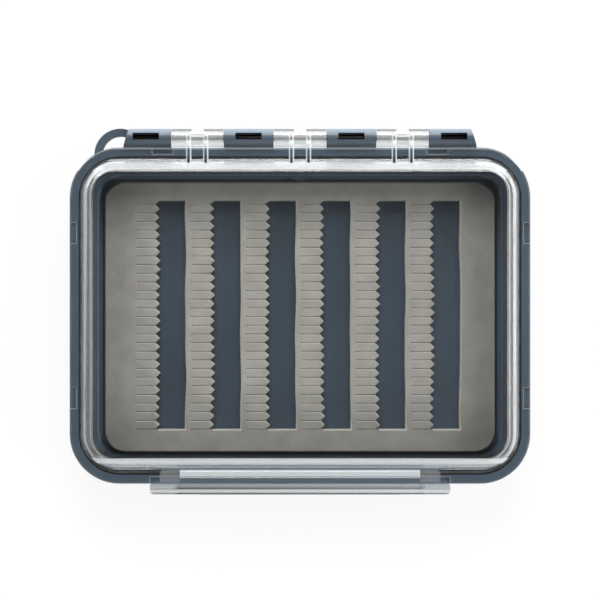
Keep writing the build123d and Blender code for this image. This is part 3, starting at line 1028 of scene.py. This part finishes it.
    def carries_teeth(self, face: bmesh.types.BMFace) -> bool:
        """Tells a wall of the sheet that the teeth grow from.

        Args:
            face: Any face of the sheet.

        Returns:
            True for such a wall.
        """
        middle = face.calc_center_median()
        at_root = any(abs(middle.x - x + self.comb_reach) < TINY for x in self.slot_edges)
        between = self.slits[0] < middle.y < self.slits[-1]
        return abs(face.normal.x) > SQUARE and at_root and between

    def is_upper_rim(self, edge: bmesh.types.BMEdge) -> bool:
        """Tells an edge between the upper face and an outer wall or a slot's wall.

        Args:
            edge: Any edge of the sheet.

        Returns:
            True for such an edge, unless it lies beside the teeth.
        """
        if len(edge.link_faces) != 2:
            return False
        up = [abs(face.normal.z) > SQUARE for face in edge.link_faces]
        high = all(vert.co.z > self.top - WELD for vert in edge.verts)
        middle = (edge.verts[0].co + edge.verts[1].co) / 2
        in_row = self.slits[0] - WELD < middle.y < self.slits[-1] + WELD
        beside_tooth = in_row and any(x - self.comb_reach - WELD < middle.x < x
                                      for x in self.slot_edges)
        return high and up[0] != up[1] and not beside_tooth

    def tooth(self) -> Shape:
        """Shapes one tooth, with its root at X 0 and its middle at Y 0.

        Returns:
            The tooth, open at its root.
        """
        tooth = bmesh.new()
        reach = self.comb_reach
        bmesh.ops.create_cube(tooth, size=1.0)
        bmesh.ops.scale(tooth, vec=(reach, self.slit_pitch, self.thickness), verts=tooth.verts)
        bmesh.ops.translate(tooth, verts=tooth.verts,
                            vec=(reach / 2, 0.0, self.bottom + self.thickness / 2))
        tops = [edge for edge in tooth.edges
                if all(vert.co.z > self.top - WELD for vert in edge.verts)
                and abs(edge.verts[0].co.x - edge.verts[1].co.x) > reach / 2]
        bmesh.ops.bevel(tooth, geom=tops, offset=self.lip, offset_type="OFFSET",
                        segments=2, profile=0.5, affect="EDGES", material=-1)
        root = [face for face in tooth.faces if face.normal.x < -SQUARE]
        bmesh.ops.delete(tooth, geom=root, context="FACES_ONLY")
        nose = self.slit_length
        half = self.slit_pitch / 2
        before_tip, snout, snout_drop = self.snout
        # half width by distance from the root: a pricked end, a closed cut, a pointed nose
        widths = {0.0: half, self.prick[0]: half - self.prick[1],
                  self.closed[0]: half - self.closed[1],
                  nose + self.shoulder[0]: half - self.shoulder[1],
                  nose + self.cheek[0]: half - self.cheek[1],
                  reach - before_tip: snout, reach: self.tip[0]}
        drops = {reach - before_tip: snout_drop, reach: self.tip[1]}
        for x in list(widths)[1:-1]:
            self.cut(tooth, (x, 0.0, 0.0), (1.0, 0.0, 0.0))
        for vert in tooth.verts:
            x = min(widths, key=lambda station: abs(station - vert.co.x))
            upper = vert.co.z > self.bottom + WELD
            vert.co.y *= widths[x] / half
            if upper:
                vert.co.z -= drops.get(x, 0.0)
            if x == 0.0 and upper:
                # the lips close to nothing where the slit ends
                vert.co.y = math.copysign(half, vert.co.y)
                vert.co.z = self.top
        bmesh.ops.remove_doubles(tooth, verts=tooth.verts, dist=TINY)
        return tooth

    def comb(self, sheet: Shape) -> None:
        """Adds every tooth to the sheet, each a little different.

        Args:
            sheet: The sheet that gets the teeth.
        """
        pattern = self.tooth()
        mesh = bpy.data.meshes.new("tooth_pattern")
        pattern.to_mesh(mesh)
        pattern.free()
        teeth = bmesh.new()
        chance = random.Random(self.seed)
        comb = self.comb_reach
        for x in self.slot_edges:
            for front, rear in zip(self.slits[:-1], self.slits[1:]):
                before = len(teeth.verts)
                teeth.from_mesh(mesh)
                teeth.verts.ensure_lookup_table()
                added = teeth.verts[before:]
                swell = chance.uniform(*self.swells)
                lift = chance.uniform(*self.lifts)
                lean = chance.uniform(*self.leans)
                for vert in added:
                    share = min(1.0, max(0.0, vert.co.x / comb))
                    vert.co.x += swell * share ** 4
                    if vert.co.z > self.bottom + WELD:
                        vert.co.z += lift * share
                        vert.co.y += lean * share ** 3
                bmesh.ops.translate(teeth, verts=added, vec=(x - comb, (front + rear) / 2, 0.0))
        teeth.to_mesh(mesh)
        teeth.free()
        sheet.from_mesh(mesh)
        bpy.data.meshes.remove(mesh)
        bmesh.ops.remove_doubles(sheet, verts=sheet.verts, dist=TINY)

    def settle(self, sheet: Shape) -> None:
        """Lets the cut lines wander and the face swell slightly, as pressed foam does.

        Args:
            sheet: The sheet with its teeth.
        """
        long, broad = self.wander_size
        slot_end = self.slot_length / 2
        for vert in sheet.verts:
            place = vert.co.copy()
            off_edge = min(self.length / 2 - abs(place.x), self.width / 2 - abs(place.y))
            inside = min(1.0, max(0.0, off_edge / self.calm_border))
            drift = noise.noise(Vector((place.x / long, place.y / broad, self.seed)))
            swell = noise.noise(Vector((place.x / self.swell_size, place.y / self.swell_size,
                                        self.seed + 7)))
            share = (place.z - self.bottom) / self.thickness
            vert.co.x += self.wander * drift * inside
            between = min(1.0, max(0.0, (slot_end - self.swell_gap - abs(place.y)) / self.fade))
            vert.co.z += self.swell * swell * share * inside * between
            border = min(1.0, max(0.0, (abs(place.y) - slot_end - self.lean_gap) / self.fade))
            vert.co.y -= (self.rear_lean if place.y > 0 else self.front_lean) * share * border

    def build(self) -> List[Piece]:
        """Builds the foam in place of its plain solid.

        Returns:
            The foam.
        """
        sheet = self.sheet()
        self.comb(sheet)
        self.settle(sheet)
        bmesh.ops.recalc_face_normals(sheet, faces=sheet.faces)
        sheet.normal_update()
        for face in sheet.faces:
            face.smooth = abs(face.normal.z) < FLAT
        piece = finished_piece(sheet, "foam_sheet", Body.TRAY, self.foam.material())
        even = piece.modifiers.new("even_shading", "WEIGHTED_NORMAL")
        even.weight = self.evenness
        even.keep_sharp = True
        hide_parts("slit_foam")
        return [piece]


# --- studio ------------------------------------------------------------------
@dataclass(frozen=True)
class SoftBox:
    """One large square lamp."""

    name: str
    place: Point                    # metres
    size: float                     # metres
    watts: float

    def build(self, target: Vector) -> Piece:
        """Hangs the lamp, facing the target.

        Args:
            target: Point that it faces.

        Returns:
            The lamp's object.
        """
        data = bpy.data.lights.new(self.name, "AREA")
        data.shape = "SQUARE"
        data.size = self.size
        data.energy = self.watts
        lamp = bpy.data.objects.new(self.name, data)
        lamp.location = self.place
        lamp.rotation_euler = (target - Vector(self.place)).to_track_quat("-Z", "Y").to_euler()
        lamp.visible_transmission = False       # the clear parts show the tent and table instead
        bpy.context.scene.collection.objects.link(lamp)
        return lamp


@dataclass(frozen=True)
class WhiteTable(Finish):
    """Matt white board. To the camera it is as bright as paper in full light, and behind the
    clear parts it is brighter towards the rear and the right."""

    name: str = "white_table"
    white: str = "#F6F6F5"
    glow: float = 0.86              # share of its white that needs no lamp
    mirrored_rise: Point = (3.0, 6.5, 0.0)      # of the glow behind the clear parts, per metre
    mirrored_middle: float = 0.5
    mirrored_range: Pair = (0.08, 0.72)
    mirrored_edge: Pair = (40.0, 44.0)          # Y where it reaches full white

    def shader(self, spot: Spot) -> Socket:
        """Adds the nodes of the board.

        Args:
            spot: The point.

        Returns:
            The shader's socket.
        """
        tree = spot.tree
        path = add_node(tree, "ShaderNodeLightPath").outputs
        rise = add_node(tree, "ShaderNodeVectorMath", {0: spot.where, 1: self.mirrored_rise},
                        operation="DOT_PRODUCT").outputs["Value"]
        least, most = self.mirrored_range
        glow = Slope(rise, least - self.mirrored_middle, most - self.mirrored_middle, most, least)
        seen = Slope(path["Is Camera Ray"], 0.0, 1.0)
        strength = most_of(tree, [seen], [glow],
                           [Slope(spot.place["Y"], *self.mirrored_edge)])
        share = most_of(tree, [Slope(path["Is Glossy Ray"], 0.0, 1.0)],
                        [Slope(path["Is Transmission Ray"], 0.0, 1.0)],
                        [Slope(path["Is Camera Ray"], 0.0, 1.0, self.glow)])
        paper = add_node(tree, "ShaderNodeBsdfDiffuse", {"Color": linear(self.white)})
        bright = add_node(tree, "ShaderNodeEmission", {"Color": WHITE, "Strength": strength})
        return add_node(tree, "ShaderNodeMixShader",
                        {0: share, 1: paper.outputs[0], 2: bright.outputs[0]}).outputs[0]


@dataclass
class Studio:
    """Camera straight above, white table, soft lamps and a bright tent with an open top."""

    camera_place: Point = (0.0, 0.00406, 0.657)     # metres
    lens: float = 147.4
    sensor: float = 36.0
    clip: Pair = (0.01, 20.0)
    board: WhiteTable = WhiteTable()
    table_radius: float = 4.0       # metres
    table_sides: int = 96
    tent_top: Pair = (0.40, 0.80)   # upward share of a direction across which the tent darkens
    tent_low: float = 1.0
    tent_high: float = 0.12
    tent_foot: Pair = (0.22, 0.55)  # where the foot starts, and the share left at the horizon
    tent_lean: Point = (0.32, 0.38, 0.0)        # how much brighter it is to the right and rear
    tent_middle: float = 0.80
    aim: Point = (0.0, 0.0, 0.01)   # what the lamps face, metres
    lamps: Tuple[SoftBox, ...] = (
        SoftBox("rear_softbox", (0.0, 0.85, 0.72), 0.6, 11.0),
        SoftBox("left_softbox", (-1.00, -0.05, 0.55), 1.0, 5.0),
        SoftBox("right_softbox", (1.00, -0.05, 0.55), 0.9, 9.0),
        SoftBox("front_softbox", (0.0, -1.00, 0.55), 0.5, 2.5),
    )

    def build(self) -> None:
        """Sets up the whole studio."""
        self.camera()
        self.table()
        self.tent()
        for lamp in self.lamps:
            lamp.build(Vector(self.aim))
        bpy.context.scene.view_settings.view_transform = "Standard"

    def camera(self) -> None:
        """Hangs the camera above the box, looking straight down."""
        data = bpy.data.cameras.new("camera")
        data.type = "PERSP"
        data.lens = self.lens
        data.sensor_width = self.sensor
        data.clip_start, data.clip_end = self.clip
        camera = bpy.data.objects.new("camera", data)
        camera.location = self.camera_place
        bpy.context.scene.collection.objects.link(camera)
        bpy.context.scene.camera = camera

    def table(self) -> None:
        """Lays the white table under the box."""
        shape = bmesh.new()
        bmesh.ops.create_circle(shape, cap_ends=True, segments=self.table_sides,
                                radius=self.table_radius)
        mesh = bpy.data.meshes.new("table")
        shape.to_mesh(mesh)
        shape.free()
        table = bpy.data.objects.new("table", mesh)
        bpy.context.scene.collection.objects.link(table)
        dress(table, self.board.material())

    def tent(self) -> None:
        """Surrounds the box with white, darker straight above where the camera looks in."""
        world = bpy.data.worlds.new("tent")
        bpy.context.scene.world = world
        world.use_nodes = True
        tree = world.node_tree
        tree.nodes.clear()
        way = add_node(tree, "ShaderNodeTexCoord").outputs["Generated"]
        upward = add_node(tree, "ShaderNodeSeparateXYZ", {0: way}).outputs["Z"]
        lean = add_node(tree, "ShaderNodeVectorMath", {0: way, 1: self.tent_lean},
                        operation="DOT_PRODUCT").outputs["Value"]
        reach = Vector(self.tent_lean).length
        walls = [Slope(upward, *self.tent_top, self.tent_high, self.tent_low, "SMOOTHSTEP"),
                 Slope(upward, 0.0, self.tent_foot[0], 1.0, self.tent_foot[1]),
                 Slope(lean, -reach, reach, self.tent_middle + reach, self.tent_middle - reach)]
        seen = add_node(tree, "ShaderNodeLightPath").outputs["Is Camera Ray"]
        light = add_node(tree, "ShaderNodeBackground",
                         {"Color": WHITE,
                          "Strength": most_of(tree, walls, [Slope(seen, 0.0, 1.0)])})
        add_node(tree, "ShaderNodeOutputWorld", {"Surface": light.outputs[0]})


def corners(pair: Tuple[Vector, Vector]) -> List[List[float]]:
    """A box as plain lists of numbers."""
    return [list(corner) for corner in pair]


def main() -> None:
    """Builds the studio and every sub-assembly in order, and logs each piece's faces."""
    logging.basicConfig(level=logging.INFO, format="%(name)s: %(message)s")
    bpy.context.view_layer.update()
    Studio().build()
    for part in (Tray(), Seal(), HingePins(), FoamSheet(), ClearParts()):
        for piece in part.build():
            LOG.info("%s: %d faces", piece.name, len(piece.data.polygons))


if __name__ == "__main__":
    main()
